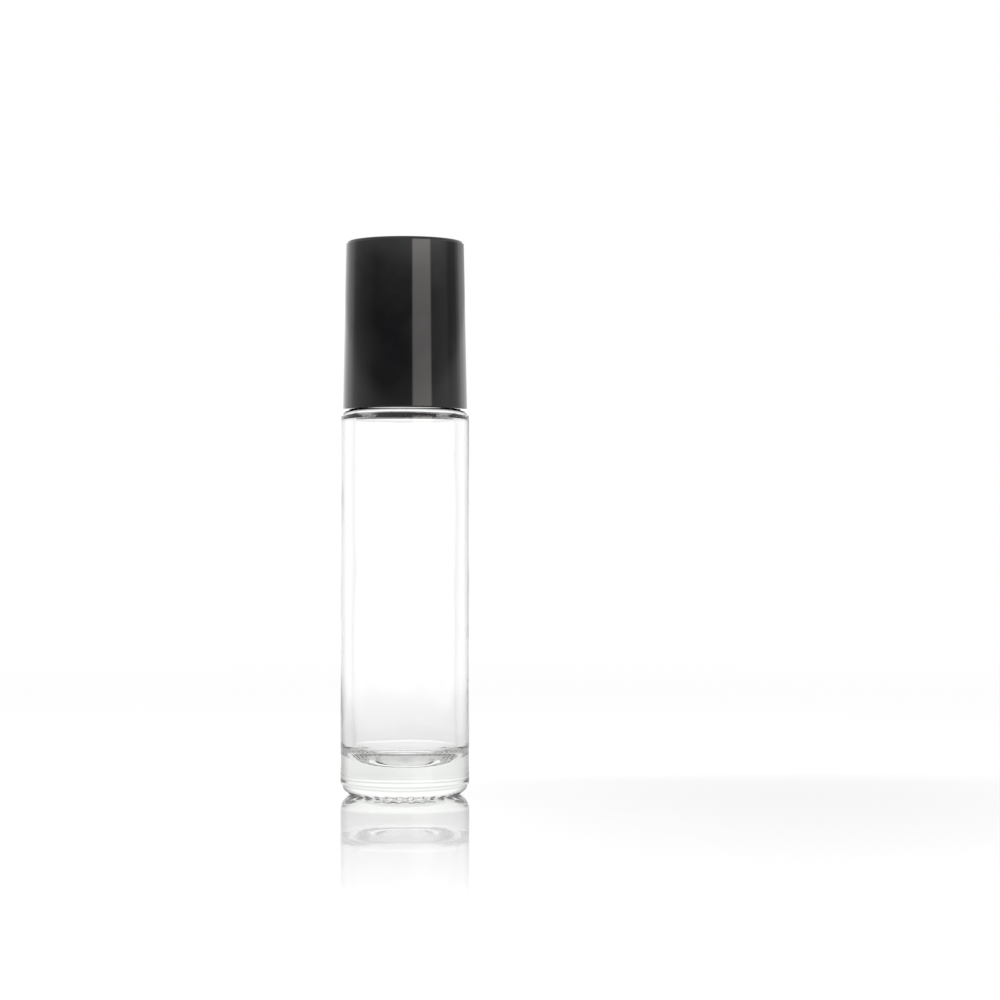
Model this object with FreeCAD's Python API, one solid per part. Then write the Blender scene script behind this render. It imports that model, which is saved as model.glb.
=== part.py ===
"""A thick walled glass roll on bottle: the glass, its roller fitment and ball, and a tall screw cap.

All sizes are in millimetres. +Z is up, and the origin is the middle of the base, where the bottle stands.
Each piece is its own solid, written to parts/NAME.step.
"""

import FreeCAD, Part
import math
import os
from FreeCAD import Vector

AXIS = Vector(0, 0, 1)
ORIGIN = Vector(0, 0, 0)
FULL_TURN = 360.0
overrun = 2.0  # how far a cutter reaches past what it cuts
same_place = 0.000001  # corners of an outline that are nearer than this are one

# Glass bottle: barrel, shoulder and base
barrel_radius = 10.0
wall_thickness = 2.2
shoulder_height = 59.5
shoulder_width = 2.7  # from the barrel in to the neck
shoulder_round = 1.2
shoulder_thickness = 0.5
inner_shoulder_round = 2.0
heel_round = 2.2
floor_height = 4.5  # the inner floor at the axis
floor_radius = 4.6  # the inner floor is a bowl, which climbs from here
floor_round = 6.0
floor_rise = 2.6  # how far the bowl climbs to the wall
floor_edge_round = 2.0

# Underside: a shallow push up inside a flat bearing ring, with knurl bars round the ring's outer part
ring_width = 2.0
push_up_depth = 0.9
knurl_count = 30
knurl_length = 0.9
knurl_depth = 0.35
knurl_groove_radius = 0.6

# Neck
neck_wall = 1.6
neck_height = 13.9
neck_root_round = 0.6
lip_round = 0.4

# Thread, shared by the neck and the cap
thread_pitch = 3.0
thread_turns = 2.0
thread_depth = 0.9
thread_root_half_width = 0.65
thread_crest_half_width = 0.3
thread_embed = 0.3  # how far a ridge's section reaches into the wall that carries it
thread_top_drop = 2.7  # from the glass rim down to the middle of the neck's ridge at its upper end
thread_radial_clearance = 0.2
thread_flank_clearance = 0.2

# Roller ball, and the fitment that holds it
ball_margin = 0.55  # how much smaller the ball's radius is than the neck's bore
ball_clearance = 0.1
ball_height_over_rim = 4.0
collar_wall = 1.25  # round the ball's equator
collar_round = 0.9
lip_over_centre = 1.9  # the socket closes over the ball's equator by this much
flange_inset = 0.2  # from the neck's side
flange_thickness = 1.2
flange_round = 0.3
plug_length = 6.5
plug_wall = 1.25
plug_clearance = 0.25
plug_chamfer = 0.4
rib_count = 3
rib_clearance = 0.02
rib_width = 0.7
rib_pitch = 1.7
rib_top_drop = 1.1  # from the glass rim down to the top of the highest rib

# Cap, and its sealing disc
cap_gap = 0.2  # between the shoulder and the cap's rim
cap_inset = 0.3  # from the barrel's side in to the cap's rim
cap_taper = 0.55  # how much smaller the cap's radius is at the top
cap_roof_thickness = 1.9
cap_edge_round = 0.45
cap_rim_round = 0.2
cap_lead_in = 0.35
cap_step_over_rim = 1.5  # the bore narrows this far above the glass rim
cap_flange_clearance = 0.65  # round the fitment's flange
liner_thickness = 1.2
liner_clearance = 0.35
liner_ball_clearance = 0.15

# Radii and heights that follow
cavity_radius = barrel_radius - wall_thickness
ring_radius = barrel_radius - heel_round
neck_radius = barrel_radius - shoulder_width
neck_bore_radius = neck_radius - neck_wall
rim_height = shoulder_height + neck_height
thread_rise = thread_pitch * thread_turns
neck_thread_start = rim_height - thread_top_drop - thread_rise
ball_radius = neck_bore_radius - ball_margin
ball_height = rim_height + ball_height_over_rim
socket_radius = ball_radius + ball_clearance
socket_top = ball_height + lip_over_centre
flange_radius = neck_radius - flange_inset
plug_radius = neck_bore_radius - plug_clearance
plug_foot = rim_height - plug_length
cap_bore_radius = neck_radius + thread_depth + thread_radial_clearance
cap_upper_bore_radius = flange_radius + cap_flange_clearance
cap_bottom_radius = barrel_radius - cap_inset
cap_bottom = shoulder_height + cap_gap
cap_ceiling = ball_height + ball_radius + liner_ball_clearance + liner_thickness
cap_top = cap_ceiling + cap_roof_thickness
liner_radius = cap_upper_bore_radius - liner_clearance


def unit(vector):
    """The vector's direction, of length 1."""
    return vector * (1 / vector.Length)


def outline(corners):
    """A closed outline in a plane through the axis, from corners of (radius, height, rounding).

    A rounding is limited to what its sides have room for.
    """
    places = [Vector(radius, 0, height) for radius, height, _ in corners]
    ends = []
    arcs = []
    for number, (_, _, rounding) in enumerate(corners):
        corner = places[number]
        if not rounding:
            ends.append((corner, corner))
            arcs.append(None)
            continue
        following = (number + 1) % len(corners)
        back, ahead = places[number - 1] - corner, places[following] - corner
        room = min(
            back.Length / (2 if corners[number - 1][2] else 1),
            ahead.Length / (2 if corners[following][2] else 1),
        )
        half_angle = back.getAngle(ahead) / 2
        reach = min(rounding / math.tan(half_angle), room)
        radius = reach * math.tan(half_angle)
        start, end = corner + unit(back) * reach, corner + unit(ahead) * reach
        inward = unit(unit(back) + unit(ahead))
        middle = corner + inward * (radius / math.sin(half_angle) - radius)
        ends.append((start, end))
        arcs.append(Part.Arc(start, middle, end).toShape())
    edges = []
    for number, arc in enumerate(arcs):
        start, end = ends[number - 1][1], ends[number][0]
        if start.distanceToPoint(end) > same_place:
            edges.append(Part.LineSegment(start, end).toShape())
        if arc:
            edges.append(arc)
    return Part.Wire(edges)


def turned(corners):
    """A solid turned about the axis, from the corners of its outline."""
    return Part.Face(outline(corners)).revolve(ORIGIN, AXIS, FULL_TURN)


def thread_ridge(root_radius, depth, start_height):
    """A helical ridge that stands on a wall of root_radius; a negative depth points it at the axis."""
    flare = (thread_root_half_width - thread_crest_half_width) / abs(depth)
    buried_half_width = thread_root_half_width + flare * thread_embed
    buried_radius = root_radius - math.copysign(thread_embed, depth)
    crest_radius = root_radius + depth
    section = Part.makePolygon(
        [
            Vector(buried_radius, 0, start_height - buried_half_width),
            Vector(crest_radius, 0, start_height - thread_crest_half_width),
            Vector(crest_radius, 0, start_height + thread_crest_half_width),
            Vector(buried_radius, 0, start_height + buried_half_width),
            Vector(buried_radius, 0, start_height - buried_half_width),
        ]
    )
    path = Part.makeHelix(thread_pitch, thread_rise, root_radius)
    path.translate(AXIS * start_height)
    return Part.Wire(path.Edges).makePipeShell([section], True, True)


def knurl_grooves():
    """The radial grooves that leave knurl bars round the outer part of the bearing ring."""
    grooves = []
    for number in range(knurl_count):
        angle = 2 * math.pi * number / knurl_count
        outward = Vector(math.cos(angle), math.sin(angle), 0)
        start = outward * (ring_radius - knurl_length)
        start += AXIS * (knurl_depth - knurl_groove_radius)
        grooves.append(Part.makeCylinder(knurl_groove_radius, barrel_radius, start, outward))
    return grooves


def glass_bottle():
    """The glass: a heavy base, a thick wall, a square shoulder and a threaded neck."""
    outside = turned(
        [
            (0, 0, 0),
            (barrel_radius, 0, heel_round),
            (barrel_radius, shoulder_height, shoulder_round),
            (neck_radius, shoulder_height, neck_root_round),
            (neck_radius, rim_height, lip_round),
            (0, rim_height, 0),
        ]
    )
    cavity_top = shoulder_height - shoulder_thickness
    hollow = turned(
        [
            (0, floor_height, 0),
            (floor_radius, floor_height, floor_round),
            (cavity_radius, floor_height + floor_rise, floor_edge_round),
            (cavity_radius, cavity_top, inner_shoulder_round),
            (neck_bore_radius, cavity_top, 0),
            (neck_bore_radius, rim_height + overrun, 0),
            (0, rim_height + overrun, 0),
        ]
    )
    push_up_radius = ring_radius - ring_width
    dome_radius = (push_up_radius**2 + push_up_depth**2) / (2 * push_up_depth)
    push_up = Part.makeSphere(dome_radius, AXIS * (push_up_depth - dome_radius))
    ridge = thread_ridge(neck_radius, thread_depth, neck_thread_start)
    return outside.fuse(ridge).cut([hollow, push_up] + knurl_grooves())


def plug_corners():
    """The outer corners of the fitment's plug, from its foot up: a lead in, then the sealing ribs."""
    rib_radius = neck_bore_radius - rib_clearance
    land = rib_radius - plug_radius
    corners = [
        (plug_radius - plug_chamfer, plug_foot, 0),
        (plug_radius, plug_foot + plug_chamfer, 0),
    ]
    for number in reversed(range(rib_count)):
        top = rim_height - rib_top_drop - number * rib_pitch
        corners += [
            (plug_radius, top - rib_width, 0),
            (rib_radius, top - land, 0),
            (rib_radius, top, 0),
            (plug_radius, top, 0),
        ]
    return corners + [(plug_radius, rim_height, 0)]


def roller_housing():
    """The fitment: a ribbed plug in the neck, a flange on the glass rim and the ball's socket."""
    collar_radius = socket_radius + collar_wall
    flange_top = rim_height + flange_thickness
    body = turned(
        [(0, plug_foot, 0)]
        + plug_corners()
        + [
            (flange_radius, rim_height, 0),
            (flange_radius, flange_top, flange_round),
            (collar_radius, flange_top, 0),
            (collar_radius, socket_top, collar_round),
            (0, socket_top, 0),
        ]
    )
    socket = Part.makeSphere(socket_radius, AXIS * ball_height)
    bore_foot = plug_foot - overrun
    bore = Part.makeCylinder(plug_radius - plug_wall, ball_height - bore_foot, AXIS * bore_foot)
    return body.cut([socket, bore])


def roller_ball():
    """The ball, held in its socket with a running clearance."""
    return Part.makeSphere(ball_radius, AXIS * ball_height)


def screw_cap():
    """The cap: a tall tapered shell, closed at the top, with a threaded skirt."""
    shell = turned(
        [
            (0, cap_bottom, 0),
            (cap_bottom_radius, cap_bottom, cap_rim_round),
            (cap_bottom_radius - cap_taper, cap_top, cap_edge_round),
            (0, cap_top, 0),
        ]
    )
    step = rim_height + cap_step_over_rim
    hollow = turned(
        [
            (0, cap_bottom - overrun, 0),
            (cap_bore_radius + cap_lead_in, cap_bottom - overrun, 0),
            (cap_bore_radius + cap_lead_in, cap_bottom, 0),
            (cap_bore_radius, cap_bottom + cap_lead_in, 0),
            (cap_bore_radius, step, 0),
            (cap_upper_bore_radius, step + cap_bore_radius - cap_upper_bore_radius, 0),
            (cap_upper_bore_radius, cap_ceiling, 0),
            (0, cap_ceiling, 0),
        ]
    )
    flare = (thread_root_half_width - thread_crest_half_width) / thread_depth
    side_by_side = 2 * thread_root_half_width - flare * (cap_bore_radius - neck_radius)
    start_height = neck_thread_start - side_by_side - thread_flank_clearance
    return shell.cut(hollow).fuse(thread_ridge(cap_bore_radius, -thread_depth, start_height))


def cap_liner():
    """The sealing disc that lies against the cap's ceiling, over the ball."""
    return Part.makeCylinder(liner_radius, liner_thickness, AXIS * (cap_ceiling - liner_thickness))


PIECES = {
    "glass_bottle": glass_bottle,
    "roller_housing": roller_housing,
    "roller_ball": roller_ball,
    "screw_cap": screw_cap,
    "cap_liner": cap_liner,
}


def main():
    """Build each piece, print its size and write it."""
    os.makedirs("parts", exist_ok=True)
    for name, build in PIECES.items():
        shape = build()
        box = shape.BoundBox
        print(
            f"{name}: {len(shape.Solids)} solid, valid {shape.isValid()},"
            f" {shape.Volume:.1f} mm3, from {box.ZMin:.2f} to {box.ZMax:.2f} mm"
        )
        shape.exportStep(f"parts/{name}.step")


main()
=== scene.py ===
"""A thick walled glass roll on bottle with a tall glossy screw cap, dressed and lit on a white floor.

Lengths in the classes are in millimetres. Every mesh is made in metres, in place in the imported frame: +Z is
up and the origin is the middle of the base.
"""
import logging
import math
from dataclasses import dataclass
from enum import Enum
from typing import Optional, Union

import bmesh
import bpy
from mathutils import Euler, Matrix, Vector


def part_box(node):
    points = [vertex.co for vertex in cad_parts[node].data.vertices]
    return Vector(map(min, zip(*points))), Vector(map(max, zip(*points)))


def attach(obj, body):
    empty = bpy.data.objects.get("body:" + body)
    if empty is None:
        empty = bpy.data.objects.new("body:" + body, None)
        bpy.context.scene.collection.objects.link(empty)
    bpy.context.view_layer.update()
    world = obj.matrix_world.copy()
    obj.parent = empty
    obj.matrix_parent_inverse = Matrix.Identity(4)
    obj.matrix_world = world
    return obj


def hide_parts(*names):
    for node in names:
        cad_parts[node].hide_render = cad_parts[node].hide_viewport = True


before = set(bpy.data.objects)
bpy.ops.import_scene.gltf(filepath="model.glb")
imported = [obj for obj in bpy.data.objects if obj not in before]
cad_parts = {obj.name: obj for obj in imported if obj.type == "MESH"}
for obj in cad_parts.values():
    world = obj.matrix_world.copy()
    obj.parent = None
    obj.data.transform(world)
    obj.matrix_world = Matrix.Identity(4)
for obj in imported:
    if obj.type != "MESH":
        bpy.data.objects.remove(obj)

LOG = logging.getLogger("roll_on_bottle")
MM = 0.001
TURN = 2 * math.pi
SAME_PLACE = 0.0001 * MM  # points that are nearer than this are one

Colour = tuple[float, float, float, float]
Stretch = tuple[float, float, float]

WHITE: Colour = (1.0, 1.0, 1.0, 1.0)
BLACK: Colour = (0.0, 0.0, 0.0, 1.0)


def linear(code: str) -> Colour:
    """Turn an sRGB hex colour into linear red, green, blue and alpha.

    Args:
        code: Six hex digits, such as "C9CACC".

    Returns:
        The colour in linear light, with alpha 1.
    """
    parts = [int(code[place : place + 2], 16) / 255 for place in (0, 2, 4)]
    light = [part / 12.92 if part <= 0.04045 else ((part + 0.055) / 1.055) ** 2.4 for part in parts]
    return (*light, 1.0)


def add_node(
    tree: bpy.types.NodeTree, kind: str, settings: Optional[dict] = None, inputs: Optional[dict] = None
) -> bpy.types.Node:
    """Add a node to a tree, with its settings, and fill or link its inputs.

    Args:
        tree: The node tree that gets the node.
        kind: The node's type name.
        settings: Properties of the node, by name.
        inputs: Values, fields, triples of fields or sockets for its inputs, by identifier, name or number.

    Returns:
        The new node.
    """
    node = tree.nodes.new(kind)
    for name, value in (settings or {}).items():
        setattr(node, name, value)
    for key, value in (inputs or {}).items():
        named = [socket for socket in node.inputs if key in (socket.identifier, socket.name)]
        socket = node.inputs[key] if isinstance(key, int) else named[0]
        if isinstance(value, tuple) and any(isinstance(part, Field) for part in value):
            value = add_node(tree, "ShaderNodeCombineXYZ", inputs=dict(enumerate(value))).outputs[0]
        value = value.socket if isinstance(value, Field) else value
        if isinstance(value, bpy.types.NodeSocket):
            tree.links.new(value, socket)
        else:
            socket.default_value = value
    return node


Number = Union[float, "Field"]


@dataclass(frozen=True)
class Field:
    """A number that a node tree works out, and that formulas can be written with.

    Attributes:
        tree: The tree that it belongs to.
        socket: The output that gives it.
    """

    tree: bpy.types.NodeTree
    socket: bpy.types.NodeSocket

    def math(self, operation: str, *others: Number) -> "Field":
        """Work out a further number from this one.

        Args:
            operation: The Math node's operation.
            others: Its other operands, in order.

        Returns:
            The result.
        """
        operands = dict(enumerate((self, *others)))
        node = add_node(self.tree, "ShaderNodeMath", {"operation": operation}, operands)
        return Field(self.tree, node.outputs[0])

    def __add__(self, other: Number) -> "Field":
        """This plus the other."""
        return self.math("ADD", other)

    def __sub__(self, other: Number) -> "Field":
        """This minus the other."""
        return self.math("SUBTRACT", other)

    def __mul__(self, other: Number) -> "Field":
        """This times the other."""
        return self.math("MULTIPLY", other)

    def __truediv__(self, other: Number) -> "Field":
        """This over the other."""
        return self.math("DIVIDE", other)

    def __lt__(self, other: Number) -> "Field":
        """1 where this is under the other, else 0."""
        return self.math("LESS_THAN", other)

    def __gt__(self, other: Number) -> "Field":
        """1 where this is over the other, else 0."""
        return self.math("GREATER_THAN", other)

    def eased(self, start: Number, end: Number, low: float = 0.0, high: float = 1.0) -> "Field":
        """Go smoothly from low to high while this number goes from start to end.

        Args:
            start: Where the change begins.
            end: Where it ends, which may be less than start.
            low: The result up to start.
            high: The result from end on.

        Returns:
            The eased number.
        """
        node = add_node(
            self.tree,
            "ShaderNodeMapRange",
            {"interpolation_type": "SMOOTHSTEP"},
            {"Value": self, "From Min": start, "From Max": end, "To Min": low, "To Max": high},
        )
        return Field(self.tree, node.outputs[0])


def parts_of(tree: bpy.types.NodeTree, vector: bpy.types.NodeSocket) -> tuple[Field, Field, Field]:
    """Give a vector's X, Y and Z."""
    parts = add_node(tree, "ShaderNodeSeparateXYZ", inputs={0: vector}).outputs
    return Field(tree, parts[0]), Field(tree, parts[1]), Field(tree, parts[2])


class ShapeTree:
    """A geometry node tree with named inputs, which shapes a piece and is then taken off it."""

    KINDS = {int: "NodeSocketInt", float: "NodeSocketFloat"}

    def __init__(self, name: str) -> None:
        """Start a tree with one geometry input, one geometry output and a material.

        Args:
            name: What the tree does.
        """
        self.tree = bpy.data.node_groups.new(name, "GeometryNodeTree")
        self._add_socket("Geometry", "INPUT", "NodeSocketGeometry")
        self._add_socket("Geometry", "OUTPUT", "NodeSocketGeometry")
        self._add_socket("Material", "INPUT", "NodeSocketMaterial")
        self.entry = self.tree.nodes.new("NodeGroupInput")
        self.exit = self.tree.nodes.new("NodeGroupOutput")

    def _add_socket(self, name: str, side: str, kind: str) -> None:
        """Add one socket to the tree's interface."""
        self.tree.interface.new_socket(name=name, in_out=side, socket_type=kind)

    def size(self, name: str, kind: type = float) -> Field:
        """Add a named input and give the number that it brings in."""
        self._add_socket(name, "INPUT", self.KINDS[kind])
        return Field(self.tree, self.entry.outputs[name])

    def node(
        self, kind: str, settings: Optional[dict] = None, inputs: Optional[dict] = None
    ) -> bpy.types.Node:
        """Add a node to this tree."""
        return add_node(self.tree, kind, settings, inputs)

    def place(self) -> tuple[Field, Field, Field]:
        """Give each point's X, Y and Z."""
        return parts_of(self.tree, self.node("GeometryNodeInputPosition").outputs[0])

    def polar(self) -> tuple[Field, Field, Field]:
        """Give each point's distance from the axis, its share of a full turn, and its height."""
        x, y, z = self.place()
        distance = (x * x + y * y).math("SQRT")
        share = (y.math("ARCTAN2", x) / TURN).math("FRACT")
        return distance, share, z

    def finish(self, geometry: bpy.types.NodeSocket) -> None:
        """End the tree: real geometry, shaded smooth, in the piece's material."""
        smooth = self.node("GeometryNodeSetShadeSmooth", inputs={"Geometry": geometry}).outputs[0]
        real = self.node("GeometryNodeRealizeInstances", inputs={"Geometry": smooth}).outputs[0]
        material = self.entry.outputs["Material"]
        dressed = self.node("GeometryNodeSetMaterial", inputs={"Geometry": real, "Material": material})
        self.tree.links.new(dressed.outputs[0], self.exit.inputs[0])

    def shape(self, piece: bpy.types.Object, material: bpy.types.Material, **sizes: float) -> None:
        """Put the tree on a piece, turn the result into a plain mesh, and take the tree off again.

        Args:
            piece: The object whose mesh it shapes.
            material: What the result is made of.
            sizes: The tree's named inputs, with underscores for spaces.
        """
        modifier = piece.modifiers.new(self.tree.name, "NODES")
        modifier.node_group = self.tree
        values = {name.replace("_", " ").capitalize(): value for name, value in sizes.items()}
        values["Material"] = material
        for item in self.tree.interface.items_tree:
            if item.in_out == "INPUT" and item.name in values:
                modifier[item.identifier] = values.pop(item.name)
        if values:
            raise ValueError(f"{self.tree.name} has no input {sorted(values)}")
        seen = piece.evaluated_get(bpy.context.evaluated_depsgraph_get())
        mesh = bpy.data.meshes.new_from_object(seen)
        mesh.materials.clear()
        mesh.materials.append(material)
        piece.modifiers.remove(modifier)
        piece.data = mesh


def turning_tree() -> ShapeTree:
    """Make the tree that turns a line of points about the axis into a closed skin."""
    made = ShapeTree("turned_on_the_axis")
    columns = made.size("Columns", int)
    outline = made.entry.outputs["Geometry"]
    counted = made.node("GeometryNodeAttributeDomainSize", {"component": "MESH"}, {"Geometry": outline})
    rows = Field(made.tree, counted.outputs["Point Count"])
    grid = made.node(
        "GeometryNodeMeshGrid",
        inputs={"Size X": 1.0, "Size Y": 1.0, "Vertices X": columns + 1, "Vertices Y": rows},
    )
    across, along, _ = made.place()
    row = ((along + 0.5) * (rows - 1)).math("ROUND")
    position = made.node("GeometryNodeInputPosition").outputs[0]
    sampled = made.node(
        "GeometryNodeSampleIndex",
        {"data_type": "FLOAT_VECTOR", "domain": "POINT"},
        {"Geometry": outline, "Value": position, "Index": row},
    )
    radius, _, height = parts_of(made.tree, sampled.outputs[0])
    angle = (across + 0.5) * TURN
    spot = (radius * angle.math("COSINE"), radius * angle.math("SINE"), height)
    skin = made.node("GeometryNodeSetPosition", inputs={"Geometry": grid.outputs["Mesh"], "Position": spot})
    inputs = {"Geometry": skin.outputs[0], "Distance": SAME_PLACE}
    closed = made.node("GeometryNodeMergeByDistance", inputs=inputs)
    made.finish(closed.outputs[0])
    return made


def thread_tree() -> ShapeTree:
    """Make the tree that raises a helical ridge, or sinks it with a negative depth, on a round wall."""
    made = ShapeTree("screw_thread")
    wall, depth, pitch = made.size("Wall radius"), made.size("Depth"), made.size("Pitch")
    turns, start = made.size("Turns"), made.size("Start height")
    root, crest, run_out = made.size("Root half width"), made.size("Crest half width"), made.size("Run out")
    distance, share, height = made.polar()
    climb = (height - start) / pitch - share
    lap = climb.math("ROUND").math("MAXIMUM", 0.0).math("MINIMUM", turns - 1)
    aside = (climb - lap).math("ABSOLUTE") * pitch
    travelled = share + lap
    ends = travelled.eased(0.0, run_out) * (turns - travelled).eased(0.0, run_out)
    touching = 0.001 * MM
    on_wall = (distance - wall).math("ABSOLUTE") < touching
    rise = aside.eased(root, crest) * ends * depth * on_wall
    grown = rise / distance + 1
    x, y, z = made.place()
    spot = (x * grown, y * grown, z)
    inputs = {"Geometry": made.entry.outputs["Geometry"], "Position": spot}
    shaped = made.node("GeometryNodeSetPosition", inputs=inputs)
    made.finish(shaped.outputs[0])
    return made


def knurl_tree() -> ShapeTree:
    """Make the tree that cuts radial grooves into the underside of a bearing ring."""
    made = ShapeTree("knurled_ring")
    count, inner = made.size("Count", int), made.size("Inner radius")
    depth, round_radius = made.size("Depth"), made.size("Groove radius")
    distance, share, height = made.polar()
    across = ((share * count + 0.5).math("FRACT") - 0.5).math("ABSOLUTE") * distance * TURN / count
    inside = (round_radius * round_radius - across * across).math("MAXIMUM", 0.0).math("SQRT")
    roof = depth - round_radius + inside
    soft = 0.15 * MM
    begun = distance.eased(inner - soft, inner + soft)
    lifted = height.math("MAXIMUM", roof * begun)
    x, y, _ = made.place()
    spot = (x, y, lifted)
    inputs = {"Geometry": made.entry.outputs["Geometry"], "Selection": height < depth * 2, "Position": spot}
    shaped = made.node("GeometryNodeSetPosition", inputs=inputs)
    made.finish(shaped.outputs[0])
    return made


def flow_tree() -> ShapeTree:
    """Make the tree that gives the inside of blown glass its slow, uneven swell."""
    made = ShapeTree("flowed_glass")
    radius, lowest, highest = made.size("Within radius"), made.size("Lowest"), made.size("Highest")
    swell, width, stretch = made.size("Swell"), made.size("Width"), made.size("Stretch")
    seed = made.size("Seed", int)
    distance, _, height = made.polar()
    x, y, z = made.place()
    spot = (x / width, y / width, z / width / stretch)
    inputs = {"Vector": spot, "W": seed, "Scale": 1.0, "Detail": 1.0}
    noise = made.node("ShaderNodeTexNoise", {"noise_dimensions": "4D"}, inputs)
    uneven = Field(made.tree, noise.outputs[0]) - 0.5
    fade = height.eased(lowest, lowest + MM) * height.eased(highest, highest - MM)
    amount = uneven * swell * 2 * fade
    normal = made.node("GeometryNodeInputNormal").outputs[0]
    offset = tuple(part * amount for part in parts_of(made.tree, normal))
    inputs = {"Geometry": made.entry.outputs["Geometry"], "Selection": distance < radius, "Offset": offset}
    shaped = made.node("GeometryNodeSetPosition", inputs=inputs)
    made.finish(shaped.outputs[0])
    return made


def ball_tree() -> ShapeTree:
    """Make the tree that swells a fine cube into a ball, which leaves no poles."""
    made = ShapeTree("ground_ball")
    radius, height, cuts = made.size("Radius"), made.size("Height"), made.size("Cuts", int)
    cube = made.node("GeometryNodeMeshCube", inputs={f"Vertices {axis}": cuts for axis in "XYZ"})
    x, y, z = made.place()
    length = (x * x + y * y + z * z).math("SQRT")
    grown = radius / length
    spot = (x * grown, y * grown, z * grown + height)
    inputs = {"Geometry": cube.outputs["Mesh"], "Position": spot}
    shaped = made.node("GeometryNodeSetPosition", inputs=inputs)
    made.finish(shaped.outputs[0])
    return made


def add_object(name: str, data: bpy.types.ID) -> bpy.types.Object:
    """Add an object with this data to the scene."""
    made = bpy.data.objects.new(name, data)
    bpy.context.collection.objects.link(made)
    return made


class Outline:
    """A line of points to turn about the axis, with its corners rounded, in millimetres."""

    ARC_STEP = math.radians(9)
    EDGE_STEP = 0.05  # from a corner to the next point, which keeps flat stretches flat

    def __init__(self) -> None:
        """Start with no corners."""
        self.corners: list[tuple[Vector, float, float]] = []

    def to(
        self, radius: float, height: float, rounding: float = 0.0, spacing: float = math.inf
    ) -> "Outline":
        """Go on to a corner.

        Args:
            radius: Its distance from the axis.
            height: Its height.
            rounding: The radius that rounds it.
            spacing: The longest step between points on the way to it.

        Returns:
            This outline.
        """
        self.corners.append((Vector((radius, height)), rounding, spacing))
        return self

    def arc(self, radius: float, height: float, centre_height: float, steps: int) -> "Outline":
        """Go on to a corner round a centre that lies on the axis.

        Args:
            radius: The corner's distance from the axis.
            height: The corner's height.
            centre_height: The height of the arc's centre.
            steps: How many points the arc gets.

        Returns:
            This outline.
        """
        start = self.corners[-1][0]
        first = math.atan2(start.x, start.y - centre_height)
        last = math.atan2(radius, height - centre_height)
        reach = math.hypot(radius, height - centre_height)
        for step in range(1, steps + 1):
            angle = first + (last - first) * step / steps
            self.to(reach * math.sin(angle), centre_height + reach * math.cos(angle))
        return self

    def _rounded(self, number: int, closed: bool) -> list[Vector]:
        """Give the points that stand for one corner."""
        corner, rounding, _ = self.corners[number]
        ends = not closed and number in (0, len(self.corners) - 1)
        if not rounding or ends:
            return [corner]
        following = (number + 1) % len(self.corners)
        back, ahead = self.corners[number - 1][0] - corner, self.corners[following][0] - corner
        room = min(
            back.length / (2 if self.corners[number - 1][1] else 1),
            ahead.length / (2 if self.corners[following][1] else 1),
        )
        half = back.angle(ahead) / 2
        reach = min(rounding / math.tan(half), room)
        radius = reach * math.tan(half)
        centre = corner + (back.normalized() + ahead.normalized()).normalized() * (radius / math.sin(half))
        spoke = corner + back.normalized() * reach - centre
        sweep = math.pi - 2 * half
        turn = math.copysign(sweep, -(back.x * ahead.y - back.y * ahead.x))
        count = max(3, math.ceil(sweep / self.ARC_STEP))
        spots = []
        for step in range(count + 1):
            angle = turn * step / count
            cosine, sine = math.cos(angle), math.sin(angle)
            arm = Vector((spoke.x * cosine - spoke.y * sine, spoke.x * sine + spoke.y * cosine))
            spots.append(centre + arm)
        return spots

    def points(self, closed: bool = False) -> list[Vector]:
        """Give the outline's points in order.

        Args:
            closed: True for a ring that doesn't meet the axis, which ends where it starts.

        Returns:
            Points of (radius, height), in millimetres.
        """
        spots: list[Vector] = []
        count = len(self.corners)
        order = [*range(count), 0] if closed else list(range(count))
        for number in order:
            arc = self._rounded(number, closed)
            if spots:
                spots += self._run(spots[-1], arc[0], self.corners[number][2])
            spots += arc
        return spots if not closed else spots[: len(spots) - len(arc) + 1]

    def _run(self, start: Vector, end: Vector, spacing: float) -> list[Vector]:
        """Give the points between two corners: one close to each end, and more if asked for."""
        run = end - start
        edge = min(self.EDGE_STEP, run.length / 4)
        if run.length < 2 * self.EDGE_STEP:
            return []
        inner = run.length - 2 * edge
        steps = max(1, math.ceil(inner / spacing))
        return [start + run.normalized() * (edge + inner * step / steps) for step in range(steps + 1)]

    def piece(
        self, name: str, material: bpy.types.Material, columns: int, closed: bool = False
    ) -> bpy.types.Object:
        """Turn the outline about the axis.

        Args:
            name: The new object's name.
            material: What it is made of.
            columns: How many steps a full turn has.
            closed: True for a ring that doesn't meet the axis.

        Returns:
            The turned object, a plain mesh in metres.
        """
        line = bpy.data.meshes.new(name)
        line.from_pydata([(spot.x * MM, 0.0, spot.y * MM) for spot in self.points(closed)], [], [])
        made = add_object(name, line)
        turning_tree().shape(made, material, columns=columns)
        return made


def face_outwards(piece: bpy.types.Object) -> None:
    """Point a closed mesh's faces outwards, once its doubles are merged."""
    edit = bmesh.new()
    edit.from_mesh(piece.data)
    bmesh.ops.remove_doubles(edit, verts=edit.verts, dist=SAME_PLACE)
    bmesh.ops.recalc_face_normals(edit, faces=edit.faces)
    edit.to_mesh(piece.data)
    edit.free()


class Body(Enum):
    """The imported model's moving bodies."""

    BOTTLE = "bottle"
    BALL = "ball"
    LINER = "liner"
    CAP = "cap"


def settle(piece: bpy.types.Object, node: str, body: Body) -> None:
    """Let a finished piece stand for a node of the frame and ride on its body.

    Args:
        piece: The finished piece.
        node: The node that it replaces.
        body: The body that it moves with.
    """
    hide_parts(node)
    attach(piece, body.value)
    LOG.info("%s: %d faces on %s", piece.name, len(piece.data.polygons), body.value)


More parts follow.
